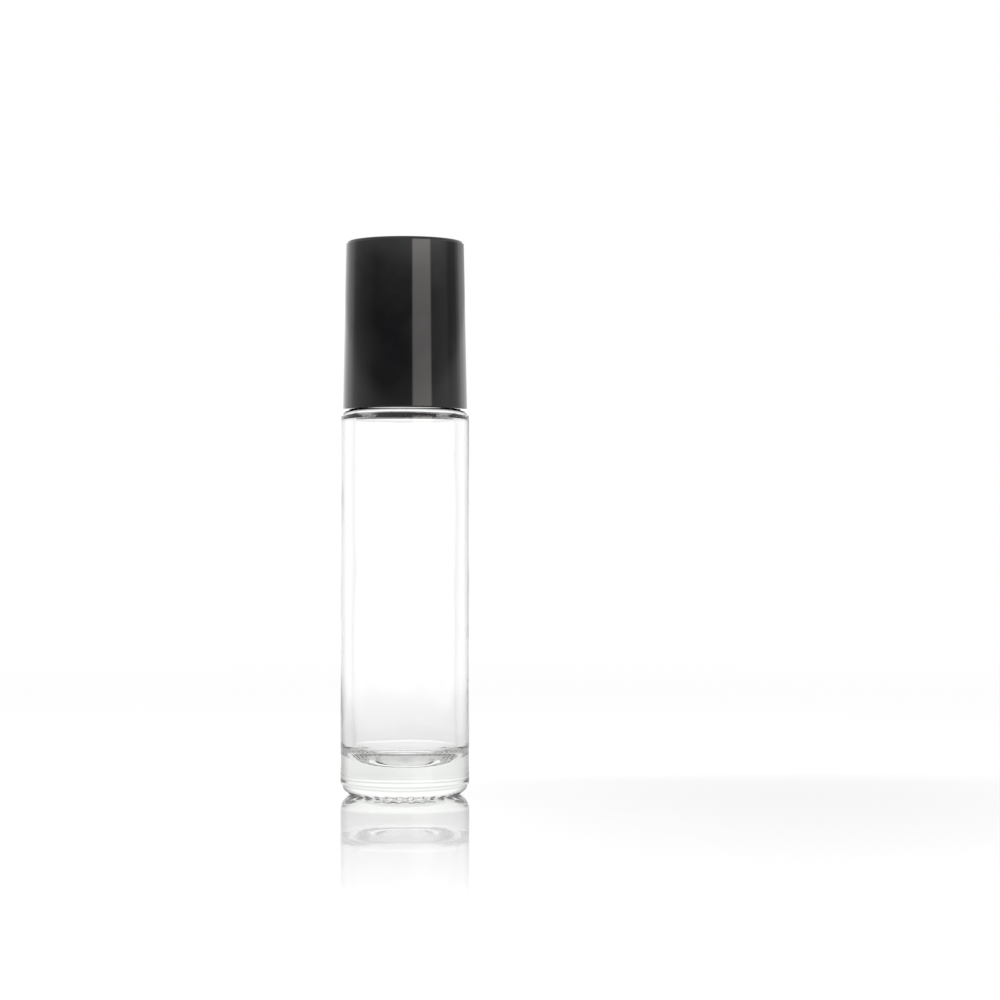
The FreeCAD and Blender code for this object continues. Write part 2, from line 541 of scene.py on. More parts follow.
@dataclass(frozen=True)
class Change:
    """A smooth change of a level while a number grows.

    Attributes:
        start: Where it begins.
        end: Where it ends.
        low: The level up to its start.
        high: The level from its end on.
    """

    start: float
    end: float
    low: float
    high: float

    def along(self, number: Field) -> Field:
        """Give the level that belongs to this number."""
        return number.eased(self.start, self.end, self.low, self.high)


def total(number: Field, *changes: Change) -> Field:
    """Add up the levels of several changes along one number."""
    level = changes[0].along(number)
    for change in changes[1:]:
        level = level + change.along(number)
    return level


def coordinates(tree: bpy.types.NodeTree, kind: str) -> tuple[Field, Field, Field]:
    """Give the three parts of one kind of texture coordinates."""
    return parts_of(tree, add_node(tree, "ShaderNodeTexCoord").outputs[kind])


def object_spot(
    tree: bpy.types.NodeTree, size: float, stretch: Stretch = (1, 1, 1)
) -> bpy.types.NodeSocket:
    """Give Object coordinates in which a feature of this size measures 1.

    Args:
        tree: The material's tree.
        size: The feature's size, in millimetres.
        stretch: How many times longer the feature is along each axis.

    Returns:
        The scaled coordinates.
    """
    place = add_node(tree, "ShaderNodeTexCoord").outputs["Object"]
    scale = [1 / (size * MM * part) for part in stretch]
    return add_node(tree, "ShaderNodeMapping", inputs={"Vector": place, "Scale": scale}).outputs[0]


def fill(shader: bpy.types.Node, values: dict) -> None:
    """Set a shader's own sockets, which stay unlinked."""
    for key, value in values.items():
        shader.inputs[key].default_value = value


def blend(tree: bpy.types.NodeTree, shader: bpy.types.Node, share: Field, colours: tuple[str, str]) -> None:
    """Let the shader's colour follow a pattern, from one sRGB hex colour to the other."""
    low, high = (linear(code) for code in colours)
    inputs = {"Factor_Float": share, "A_Color": low, "B_Color": high}
    mix = add_node(tree, "ShaderNodeMix", {"data_type": "RGBA"}, inputs)
    tree.links.new(mix.outputs[2], shader.inputs["Base Color"])


@dataclass(frozen=True)
class Cloud:
    """A soft, uneven pattern over a skin.

    Attributes:
        size: How wide its patches are, in millimetres.
        detail: How many finer layers it has.
        stretch: How many times longer its patches are along each axis.
        warp: How much it is bent out of shape.
    """

    size: float
    detail: float = 0.0
    stretch: Stretch = (1, 1, 1)
    warp: float = 0.0

    def spread(self, tree: bpy.types.NodeTree) -> Field:
        """Lay the pattern over Object coordinates, and give its height."""
        spot = object_spot(tree, self.size, self.stretch)
        inputs = {"Vector": spot, "Scale": 1.0, "Detail": self.detail, "Distortion": self.warp}
        return Field(tree, add_node(tree, "ShaderNodeTexNoise", inputs=inputs).outputs[0])


@dataclass(frozen=True)
class Drift:
    """A slow drift of colour and gloss over a skin.

    Attributes:
        cloud: The pattern that it follows.
        colours: The sRGB hex colours of the pattern's low and high parts.
        roughness: How the roughness follows the pattern.
    """

    cloud: Cloud
    colours: tuple[str, str]
    roughness: Change

    def spread(self, tree: bpy.types.NodeTree, shader: bpy.types.Node) -> None:
        """Let the shader's colour and roughness follow it."""
        share = self.cloud.spread(tree)
        blend(tree, shader, share, self.colours)
        tree.links.new(self.roughness.along(share).socket, shader.inputs["Roughness"])


@dataclass(frozen=True)
class Relief:
    """A shallow relief in a skin.

    Attributes:
        cloud: The pattern that it follows.
        depth: How deep it is, in millimetres.
        strength: How much of it shows, from 0 to 1.
    """

    cloud: Cloud
    depth: float
    strength: float

    def emboss(self, tree: bpy.types.NodeTree, shader: bpy.types.Node) -> None:
        """Bend the light on the skin by it."""
        height = self.cloud.spread(tree)
        inputs = {"Strength": self.strength, "Distance": self.depth * MM, "Height": height}
        bump = add_node(tree, "ShaderNodeBump", inputs=inputs)
        tree.links.new(bump.outputs[0], shader.inputs["Normal"])


@dataclass(frozen=True)
class Finish:
    """What every finish shares: a named material with one Principled shader, and the patterns in its skin.

    Attributes:
        name: The material's name.
        drift: How its colour and gloss drift.
        relief: How its skin is embossed.
    """

    name: str
    drift: Optional[Drift] = None
    relief: Optional[Relief] = None

    def start(self) -> tuple[bpy.types.Material, bpy.types.NodeTree, bpy.types.Node]:
        """Make the material and lay its patterns.

        Returns:
            The material, its node tree and its shader.
        """
        material = bpy.data.materials.new(self.name)
        material.use_nodes = True
        tree = material.node_tree
        shader = tree.nodes["Principled BSDF"]
        if self.drift:
            self.drift.spread(tree, shader)
        if self.relief:
            self.relief.emboss(tree, shader)
        return material, tree, shader

    def material(self) -> bpy.types.Material:
        """Make the material."""
        return self.start()[0]


@dataclass(frozen=True)
class FirePolishedGlass(Finish):
    """Soda lime glass, moulded and fire polished: clear, wet looking, with a faint ripple in its skin.

    Attributes:
        edge: Painted shade on the outer skin: how much light it lets through, from where it is seen at a
            slant to edge on, which darkens the glass towards its sides.
        skin_radius: What lies further from the axis than this is the outer skin, in millimetres.
        body_colour: The sRGB hex colour that white light takes on in its thickness.
        body_density: How strongly it does so, for each metre.
        index: Its index of refraction.
    """

    name: str = "fire_polished_soda_lime_glass"
    relief: Relief = Relief(Cloud(2.4, detail=1.0, stretch=(1, 1, 3)), depth=0.1, strength=0.05)
    edge: Change = Change(0.45, 0.82, 1.0, 0.2)
    skin_radius: float = 9.0
    body_colour: str = "F1F5F0"
    body_density: float = 30.0
    index: float = 1.52

    def material(self) -> bpy.types.Material:
        """Make the glass."""
        made, tree, shader = self.start()
        fill(shader, {"Transmission Weight": 1.0, "IOR": self.index, "Roughness": 0.0})
        # Painted shade: the outer skin's colour darkens where it is seen edge on, so the glass looks darker
        # towards its sides
        weight = add_node(tree, "ShaderNodeLayerWeight", inputs={"Blend": 0.5})
        facing = Field(tree, weight.outputs["Facing"])
        x, y, _ = coordinates(tree, "Object")
        outer = (x * x + y * y).math("SQRT") > self.skin_radius * MM
        clear = outer * (self.edge.along(facing) - 1) + 1
        tree.links.new(clear.socket, shader.inputs["Base Color"])
        inputs = {"Color": linear(self.body_colour), "Density": self.body_density}
        body = add_node(tree, "ShaderNodeVolumeAbsorption", inputs=inputs)
        tree.links.new(body.outputs[0], tree.nodes["Material Output"].inputs["Volume"])
        return made


@dataclass(frozen=True)
class GlossPolypropylene(Finish):
    """Black polypropylene from a polished mould: a deep gloss with very slow ripples and a faint haze."""

    name: str = "gloss_moulded_black_polypropylene"
    drift: Drift = Drift(Cloud(5.0, detail=3.0), ("121214", "17171A"), Change(0.3, 0.7, 0.05, 0.09))
    relief: Relief = Relief(Cloud(4.0, stretch=(1, 1, 4)), depth=0.1, strength=0.05)


@dataclass(frozen=True)
class NaturalPolyethylene(Finish):
    """Natural low density polyethylene, moulded: milky, waxy and a little see-through at its edges.

    Attributes:
        glow: How much of the light goes into the skin.
        glow_depth: How deep red light goes, in millimetres.
        glow_reach: How deep red, green and blue go against that.
    """

    name: str = "moulded_natural_polyethylene"
    drift: Drift = Drift(Cloud(3.0, detail=2.0), ("E6E7E1", "F1F1EC"), Change(0.3, 0.7, 0.34, 0.42))
    # The mould's grain is finer than this, and is drawn at 0.25 mm so that it shows
    relief: Relief = Relief(Cloud(0.25, detail=1.0), depth=0.02, strength=0.15)
    glow: float = 0.25
    glow_depth: float = 1.2
    glow_reach: tuple[float, float, float] = (1.0, 0.9, 0.8)

    def material(self) -> bpy.types.Material:
        """Make the plastic."""
        made, _, shader = self.start()
        fill(shader, {"Subsurface Weight": self.glow, "Subsurface Radius": self.glow_reach})
        fill(shader, {"Subsurface Scale": self.glow_depth * MM})
        return made


@dataclass(frozen=True)
class LappedSteel(Finish):
    """Stainless steel, ground and lapped: a mirror with a few hairline scratches that run every way."""

    name: str = "lapped_stainless_steel"
    drift: Drift = Drift(Cloud(2.0, detail=3.0), ("C2C4C8", "D2D3D5"), Change(0.35, 0.65, 0.05, 0.1))
    # Real hairlines are about 0.01 mm wide, and are drawn at 0.12 mm so that they show
    relief: Relief = Relief(Cloud(0.12, stretch=(1, 12, 3), warp=1.5), depth=0.005, strength=0.08)

    def material(self) -> bpy.types.Material:
        """Make the steel."""
        made, _, shader = self.start()
        fill(shader, {"Metallic": 1.0})
        return made


@dataclass(frozen=True)
class ClosedCellFoam(Finish):
    """Expanded polyethylene foam, cut from sheet: soft white, with fine closed cells.

    Attributes:
        cell: How wide a cell is, in millimetres.
        cell_depth: How deep a cut cell is, in millimetres.
        cell_strength: How much of that shows, from 0 to 1.
        cell_walls: How a cell's depth follows the distance from its middle.
        colours: The sRGB hex colours of a cell's middle and of the walls between cells.
        roughness: How matt it is.
    """

    name: str = "expanded_polyethylene_foam"
    cell: float = 0.3
    cell_depth: float = 0.06
    cell_strength: float = 0.4
    cell_walls: Change = Change(0.1, 0.7, 0.0, 1.0)
    colours: tuple[str, str] = ("F0F0EB", "E0E0DA")
    roughness: float = 0.75

    def material(self) -> bpy.types.Material:
        """Make the foam."""
        made, tree, shader = self.start()
        fill(shader, {"Roughness": self.roughness})
        inputs = {"Vector": object_spot(tree, self.cell), "Scale": 1.0}
        cells = add_node(tree, "ShaderNodeTexVoronoi", {"feature": "SMOOTH_F1"}, inputs)
        depth = self.cell_walls.along(Field(tree, cells.outputs["Distance"]))
        blend(tree, shader, depth, self.colours)
        inputs = {"Strength": self.cell_strength, "Distance": self.cell_depth * MM, "Height": depth}
        bump = add_node(tree, "ShaderNodeBump", {"invert": True}, inputs)
        tree.links.new(bump.outputs[0], shader.inputs["Normal"])
        return made


@dataclass
class Thread:
    """The screw thread that the neck and the cap share, in millimetres, with its run-out in turns."""

    pitch: float = 3.0
    turns: float = 2.0
    depth: float = 0.9
    root_half_width: float = 0.65
    crest_half_width: float = 0.3
    top_drop: float = 2.7
    flank_clearance: float = 0.2
    run_out: float = 0.04

    @property
    def rise(self) -> float:
        """How far the ridge climbs."""
        return self.pitch * self.turns

    def cut(self, piece: bpy.types.Object, wall_radius: float, start_height: float, depth: float) -> None:
        """Raise the ridge on a wall of a piece; a negative depth points it at the axis.

        Args:
            piece: The piece that carries it.
            wall_radius: The wall's distance from the axis.
            start_height: The height of the ridge's middle where it starts.
            depth: How far it stands out.
        """
        thread_tree().shape(
            piece, piece.data.materials[0], turns=self.turns, run_out=self.run_out,
            wall_radius=wall_radius * MM, depth=depth * MM,
            pitch=self.pitch * MM, start_height=start_height * MM,
            root_half_width=self.root_half_width * MM, crest_half_width=self.crest_half_width * MM,
        )


@dataclass
class GlassBottle:
    """The glass: a heavy base, a thick wall, a square shoulder and a threaded neck, in millimetres."""

    barrel_radius: float
    rim_height: float
    thread: Thread
    wall: float = 2.2
    neck_height: float = 13.9
    shoulder_width: float = 2.7
    shoulder_round: float = 1.2
    shoulder_thickness: float = 0.5
    inner_shoulder_round: float = 2.0
    heel_round: float = 2.2
    floor_height: float = 4.5
    floor_radius: float = 4.6
    floor_round: float = 6.0
    floor_rise: float = 2.6
    floor_edge_round: float = 2.0
    ring_width: float = 2.0
    push_up: float = 0.9
    knurl_count: int = 30
    knurl_length: float = 0.9
    knurl_depth: float = 0.35
    knurl_groove_radius: float = 0.6
    neck_wall: float = 1.6
    neck_root_round: float = 0.6
    lip_round: float = 0.4
    swell: float = 0.12
    swell_width: float = 6.0
    swell_stretch: float = 2.5
    swell_seed: int = 7
    columns: int = 240

    @classmethod
    def from_frame(cls, thread: Thread) -> "GlassBottle":
        """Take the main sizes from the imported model."""
        _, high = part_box("glass_bottle")
        return cls(barrel_radius=high.x / MM, rim_height=high.z / MM, thread=thread)

    @property
    def neck_radius(self) -> float:
        """The neck's side."""
        return self.barrel_radius - self.shoulder_width

    @property
    def neck_bore_radius(self) -> float:
        """The neck's bore."""
        return self.neck_radius - self.neck_wall

    @property
    def shoulder_height(self) -> float:
        """The top of the shoulder."""
        return self.rim_height - self.neck_height

    @property
    def thread_start(self) -> float:
        """Where the middle of the neck's ridge starts."""
        return self.rim_height - self.thread.top_drop - self.thread.rise

    def outline(self) -> Outline:
        """Draw the glass from the middle of its underside, over the rim, to the middle of its floor."""
        ring = self.barrel_radius - self.heel_round
        hollow = ring - self.ring_width
        dome_centre = self.push_up - (hollow**2 + self.push_up**2) / (2 * self.push_up)
        cavity = self.barrel_radius - self.wall
        cavity_top = self.shoulder_height - self.shoulder_thickness
        thread_step, ring_step, floor_step, wall_step, bore_step, side_step = 0.1, 0.12, 0.4, 0.8, 1.5, 3.0
        below_thread = self.thread_start - self.thread.pitch / 2
        line = Outline().to(0, self.push_up).arc(hollow, 0, dome_centre, steps=16)
        line.to(self.barrel_radius, 0, self.heel_round, ring_step)
        line.to(self.barrel_radius, self.shoulder_height, self.shoulder_round, side_step)
        line.to(self.neck_radius, self.shoulder_height, self.neck_root_round)
        line.to(self.neck_radius, below_thread, 0, wall_step)
        line.to(self.neck_radius, below_thread + self.thread.rise + self.thread.pitch, 0, thread_step)
        line.to(self.neck_radius, self.rim_height, self.lip_round, wall_step)
        line.to(self.neck_bore_radius, self.rim_height, self.lip_round / 2)
        line.to(self.neck_bore_radius, cavity_top, self.lip_round, bore_step)
        line.to(cavity, cavity_top, self.inner_shoulder_round)
        line.to(cavity, self.floor_height + self.floor_rise, self.floor_edge_round, wall_step)
        line.to(self.floor_radius, self.floor_height, self.floor_round, floor_step)
        return line.to(0, self.floor_height, 0, floor_step)

    def build(self, finish: FirePolishedGlass) -> bpy.types.Object:
        """Make, dress and place the glass.

        Args:
            finish: What it is made of.

        Returns:
            The finished piece.
        """
        material = finish.material()
        glass = self.outline().piece("moulded_glass", material, self.columns)
        self.thread.cut(glass, self.neck_radius, self.thread_start, self.thread.depth)
        knurl_tree().shape(
            glass, material, count=self.knurl_count,
            inner_radius=(self.barrel_radius - self.heel_round - self.knurl_length) * MM,
            depth=self.knurl_depth * MM, groove_radius=self.knurl_groove_radius * MM,
        )
        flow_tree().shape(
            glass, material, within_radius=(self.barrel_radius - self.wall / 2) * MM,
            lowest=(self.push_up + 1) * MM, highest=(self.shoulder_height - self.shoulder_thickness) * MM,
            swell=self.swell * MM, width=self.swell_width * MM, stretch=self.swell_stretch,
            seed=self.swell_seed,
        )
        face_outwards(glass)
        settle(glass, "glass_bottle", Body.BOTTLE)
        return glass


@dataclass
class RollerFitment:
    """The press-in fitment: a ribbed plug, a flange on the rim and the ball's socket, in millimetres."""

    glass: GlassBottle
    ball_height: float
    ball_radius: float
    socket_clearance: float = 0.1
    collar_wall: float = 1.25
    collar_round: float = 0.9
    lip_over_centre: float = 1.9
    flange_inset: float = 0.2
    flange_thickness: float = 1.2
    flange_round: float = 0.3
    plug_length: float = 6.5
    plug_wall: float = 1.25
    plug_clearance: float = 0.25
    plug_chamfer: float = 0.4
    rib_count: int = 3
    rib_clearance: float = 0.02
    rib_width: float = 0.7
    rib_pitch: float = 1.7
    rib_top_drop: float = 1.1
    rib_round: float = 0.08
    foot_round: float = 0.15
    edge_round: float = 0.1
    sharp_round: float = 0.05
    collar_root_round: float = 0.15
    mouth_chamfer: float = 0.06
    columns: int = 192

    def outline(self) -> Outline:
        """Draw the fitment's wall, from the foot of its bore round the outside and back down the socket."""
        rim = self.glass.rim_height
        plug = self.glass.neck_bore_radius - self.plug_clearance
        rib = self.glass.neck_bore_radius - self.rib_clearance
        flange = self.glass.neck_radius - self.flange_inset
        socket = self.ball_radius + self.socket_clearance
        collar = socket + self.collar_wall
        socket_top = self.ball_height + self.lip_over_centre
        bore = plug - self.plug_wall
        foot = rim - self.plug_length
        seat = self.ball_height - math.sqrt(socket**2 - bore**2)
        mouth = math.sqrt(socket**2 - self.lip_over_centre**2)
        line = Outline().to(bore, foot, self.foot_round)
        line.to(plug - self.plug_chamfer, foot, self.edge_round)
        line.to(plug, foot + self.plug_chamfer, self.edge_round)
        for number in reversed(range(self.rib_count)):
            top = rim - self.rib_top_drop - number * self.rib_pitch
            line.to(plug, top - self.rib_width).to(rib, top - (rib - plug), self.rib_round)
            line.to(rib, top, self.sharp_round).to(plug, top)
        line.to(plug, rim).to(flange, rim, self.edge_round)
        line.to(flange, rim + self.flange_thickness, self.flange_round)
        line.to(collar, rim + self.flange_thickness, self.collar_root_round)
        line.to(collar, socket_top, self.collar_round)
        line.to(mouth + self.mouth_chamfer, socket_top, self.sharp_round)
        line.to(mouth, socket_top - self.mouth_chamfer)
        return line.arc(bore, seat, self.ball_height, steps=24)

    def build(self, finish: NaturalPolyethylene) -> bpy.types.Object:
        """Make, dress and place the fitment."""
        made = self.outline().piece("press_in_fitment", finish.material(), self.columns, closed=True)
        face_outwards(made)
        settle(made, "roller_housing", Body.BOTTLE)
        return made


@dataclass
class RollerBall:
    """The steel ball, in millimetres."""

    radius: float
    height: float
    cuts: int = 65

    @classmethod
    def from_frame(cls) -> "RollerBall":
        """Take the ball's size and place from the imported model."""
        low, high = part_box("roller_ball")
        return cls(radius=(high.z - low.z) / 2 / MM, height=(high.z + low.z) / 2 / MM)

    def build(self, finish: LappedSteel) -> bpy.types.Object:
        """Make, dress and place the ball."""
        made = add_object("steel_ball", bpy.data.meshes.new("steel_ball"))
        ball_tree().shape(
            made, finish.material(), radius=self.radius * MM, height=self.height * MM, cuts=self.cuts
        )
        face_outwards(made)
        settle(made, "roller_ball", Body.BALL)
        return made


@dataclass
class ScrewCap:
    """The cap: a tall tapered shell, closed at the top, with a threaded skirt, in millimetres."""

    glass: GlassBottle
    rim_radius: float
    bottom: float
    top: float
    ceiling: float
    taper: float = 0.55
    edge_round: float = 0.45
    rim_round: float = 0.2
    lead_in_round: float = 0.05
    ceiling_round: float = 0.3
    radial_clearance: float = 0.2
    lead_in: float = 0.35
    step_over_rim: float = 1.5
    # The fitment's flange, which the upper bore goes round
    flange_radius: float = 7.1
    flange_clearance: float = 0.65
    columns: int = 256

    @classmethod
    def from_frame(cls, glass: GlassBottle) -> "ScrewCap":
        """Take the cap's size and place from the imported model."""
        low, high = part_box("screw_cap")
        _, liner_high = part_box("cap_liner")
        return cls(glass, high.x / MM, bottom=low.z / MM, top=high.z / MM, ceiling=liner_high.z / MM)

    @property
    def bore_radius(self) -> float:
        """The threaded part's bore."""
        return self.glass.neck_radius + self.glass.thread.depth + self.radial_clearance

    @property
    def upper_bore_radius(self) -> float:
        """The bore round the fitment."""
        return self.flange_radius + self.flange_clearance

    def outline(self) -> Outline:
        """Draw the cap from the middle of its top, round the rim, to the middle of its ceiling."""
        step = self.glass.rim_height + self.step_over_rim
        thread_step, flat_step, side_step = 0.1, 2.0, 3.0
        line = Outline().to(0, self.top)
        line.to(self.rim_radius - self.taper, self.top, self.edge_round, flat_step)
        line.to(self.rim_radius, self.bottom, self.rim_round, side_step)
        line.to(self.bore_radius + self.lead_in, self.bottom, self.lead_in_round)
        line.to(self.bore_radius, self.bottom + self.lead_in)
        line.to(self.bore_radius, step, 0, thread_step)
        line.to(self.upper_bore_radius, step + self.bore_radius - self.upper_bore_radius)
        line.to(self.upper_bore_radius, self.ceiling, self.ceiling_round, side_step)
        return line.to(0, self.ceiling, 0, flat_step)

    def build(self, finish: GlossPolypropylene) -> bpy.types.Object:
        """Make, dress and place the cap."""
        made = self.outline().piece("moulded_cap", finish.material(), self.columns)
        thread = self.glass.thread
        flare = (thread.root_half_width - thread.crest_half_width) / thread.depth
        side_by_side = 2 * thread.root_half_width - flare * (self.bore_radius - self.glass.neck_radius)
        start = self.glass.thread_start - side_by_side - thread.flank_clearance
        thread.cut(made, self.bore_radius, start, -thread.depth)
        face_outwards(made)
        settle(made, "screw_cap", Body.CAP)
        return made


@dataclass
class CapLiner:
    """The sealing disc under the cap's roof, pressed a little hollow over the ball, in millimetres."""

    radius: float
    bottom: float
    top: float
    top_edge_round: float = 0.1
    edge_round: float = 0.25
    print_rim_radius: float = 3.08
    print_rim_round: float = 0.8
    print_flat_radius: float = 1.1
    print_flat_round: float = 1.2
    print_depth: float = 0.12
    columns: int = 128

    @classmethod
    def from_frame(cls) -> "CapLiner":
        """Take the disc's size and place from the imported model."""
        low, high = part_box("cap_liner")
        return cls(radius=high.x / MM, bottom=low.z / MM, top=high.z / MM)

    def outline(self) -> Outline:
        """Draw the disc from the middle of its top to the middle of the ball's print."""
        print_height = self.bottom + self.print_depth
        side_step, under_step, top_step = 0.2, 0.5, 1.0
        line = Outline().to(0, self.top).to(self.radius, self.top, self.top_edge_round, top_step)
        line.to(self.radius, self.bottom, self.edge_round, side_step)
        line.to(self.print_rim_radius, self.bottom, self.print_rim_round, under_step)
        return line.to(self.print_flat_radius, print_height, self.print_flat_round).to(0, print_height)

    def build(self, finish: ClosedCellFoam) -> bpy.types.Object:
        """Make, dress and place the disc."""
        made = self.outline().piece("foam_disc", finish.material(), self.columns)
        face_outwards(made)
        settle(made, "cap_liner", Body.LINER)
        return made


@dataclass(frozen=True)
class Rays:
    """Which kind of ray asks for light: 1 where it is that kind, else 0.

    Attributes:
        camera: Straight from the camera.
        through: Come through clear glass.
        glossy: Come off, or through, a shiny surface.
    """

    camera: Field
    through: Field
    glossy: Field

    @classmethod
    def of(cls, tree: bpy.types.NodeTree) -> "Rays":
        """Read the kinds off the light path."""
        found = add_node(tree, "ShaderNodeLightPath").outputs
        return cls(*(Field(tree, found[f"Is {kind} Ray"]) for kind in ("Camera", "Transmission", "Glossy")))

    @property
    def mirrored(self) -> Field:
        """1 where the ray came off a shiny surface and not through glass."""
        return self.glossy * (self.through * -1 + 1)


@dataclass(frozen=True)
class Backdrop:
    """The white backdrop that clear glass shows.

    Attributes:
        level: Its brightness straight behind the object, low down.
        side_share: How much of that is left at the sides.
        higher_level: Its brightness over the object's shoulder.
        top_level: What it gains near its top.
    """

    level: float = 1.14
    side_share: float = 0.6
    higher_level: float = 0.9
    top_level: float = 0.3

    def share(self, y: Field) -> Field:
        """Give its share of brightness in a direction, from the direction's Y part."""
        return y.math("MAXIMUM", 0.0) * (1 - self.side_share) + self.side_share

    def over_horizon(self, y: Field, rise: Field) -> Field:
        """Give its brightness in a direction, from its Y part and its degrees over the horizon."""
        higher = Change(3.0, 5.6, self.level, self.higher_level)
        top = Change(7.0, 12.0, 0.0, self.top_level)
        return self.share(y) * total(rise, higher, top)


@dataclass(frozen=True)
class Room:
    """A white room with a tall soft box, which shiny surfaces mirror and clear glass shows.

    Compass angles are in degrees from the camera's side, growing to the right, and rises are in degrees
    over the horizon.

    Attributes:
        backdrop: What clear glass shows.
        plain: The even light that falls on every surface.
        ceiling: The ceiling's brightness in a shiny surface.
        glow_limit: The most that a wall's own brightness adds to the glow over it.
    """

    backdrop: Backdrop
    plain: float = 0.5
    ceiling: float = 0.95
    glow_limit: float = 0.45

    # Brightness by compass angle: the walls, the soft box, and a dark flag to one side
    WALLS = (
        (-180, 1.18), (-171, 1.15), (-163, 1.15), (-146, 1.2), (-130, 1.0), (-118, 0.86), (-112, 0.5),
        (-105, 0.38), (-93, 0.31), (-70, 0.2), (-57, 0.11), (-38, 0.07), (-18, 0.06), (8, 0.1), (50, 0.3),
        (57, 0.38), (75, 0.45), (86, 0.43), (110, 0.45), (121, 0.55), (129, 1.0), (147, 0.88), (162, 0.7),
        (171, 0.9), (180, 1.18),
    )
    SOFT_BOX = ((-180, 0.0), (12.8, 0.0), (15.2, 1.0), (48.7, 1.0), (51.2, 0.0), (180, 0.0))
    FLAG = ((-180, 0.0), (86, 0.0), (91, 0.18), (112, 0.18), (117, 0.0), (180, 0.0))
    # Brightness by rise: the flag ends, the soft box dims and brightens, the walls glow, the ceiling begins
    FLAG_END = Change(7.9, 8.4, 1.0, 0.0)
    BOX_RISE = (Change(4.8, 6.2, 2.4, 1.65), Change(6.6, 7.4, 0.0, 0.5), Change(7.8, 8.5, 0.0, 0.8))
    WALL_GLOW = Change(7.2, 8.6, 0.0, 1.4)
    EVEN_GLOW = (Change(7.9, 8.7, 0.0, 0.9), Change(4.9, 5.4, 0.45, 0.0))
    CEILING_START = Change(9.1, 14.0, 0.0, 1.0)
    # The soft box is a little warmer than the room
    BOX_COLOUR = "FFF8F6"

    def _by_compass(self, tree: bpy.types.NodeTree, share: Field, stops: tuple) -> Field:
        """Read a brightness off a list of compass angles, at this share of a turn."""
        ramp = add_node(tree, "ShaderNodeValToRGB", inputs={0: share})
        marks = ramp.color_ramp.elements
        for number, (angle, level) in enumerate(stops):
            place = (angle + 180) / 360
            mark = marks[number] if number < 2 else marks.new(place)
            mark.position = place
            mark.color = (level, level, level, 1)
        return Field(tree, ramp.outputs[0])

    def mirrored(self, tree: bpy.types.NodeTree, share: Field, rise: Field) -> tuple[Field, Field]:
        """Work out what a shiny surface finds in a direction.

        Args:
            tree: The world's tree.
            share: The direction's compass angle, as a share of a turn.
            rise: Its degrees over the horizon.

        Returns:
            The brightness, and how far the soft box fills the direction.
        """
        walls = self._by_compass(tree, share, self.WALLS)
        walls = walls - self._by_compass(tree, share, self.FLAG) * self.FLAG_END.along(rise)
        box = self._by_compass(tree, share, self.SOFT_BOX)
        glow = walls.math("MINIMUM", self.glow_limit) * self.WALL_GLOW.along(rise)
        glow = glow + total(rise, *self.EVEN_GLOW)
        ceiling = self.CEILING_START.along(rise)
        level = walls + box * total(rise, *self.BOX_RISE) + glow
        return level * (ceiling * -1 + 1) + ceiling * self.ceiling, box

    def build(self) -> None:
        """Make the world."""
        made = bpy.data.worlds.new("studio")
        bpy.context.scene.world = made
        made.use_nodes = True
        tree = made.node_tree
        tree.nodes.clear()
        x, y, z = coordinates(tree, "Generated")
        share = x.math("ARCTAN2", y * -1) / TURN + 0.5
        rise = z.math("ARCSINE") * (180 / math.pi)
        mirrored, box = self.mirrored(tree, share, rise)
        rays = Rays.of(tree)
        shown = rays.camera + rays.through * self.backdrop.over_horizon(y, rise)
        other = (rays.camera + rays.through) * -1 + 1
        level = shown + other * (rays.glossy * (mirrored - self.plain) + self.plain)
        seen_box = box * rays.glossy * other
        inputs = {"Factor_Float": seen_box, "A_Color": WHITE, "B_Color": linear(self.BOX_COLOUR)}
        warm = add_node(tree, "ShaderNodeMix", {"data_type": "RGBA"}, inputs)
        back = add_node(tree, "ShaderNodeBackground", inputs={"Color": warm.outputs[2], "Strength": level})
        out = add_node(tree, "ShaderNodeOutputWorld", inputs={"Surface": back.outputs[0]})
        out.is_active_output = True


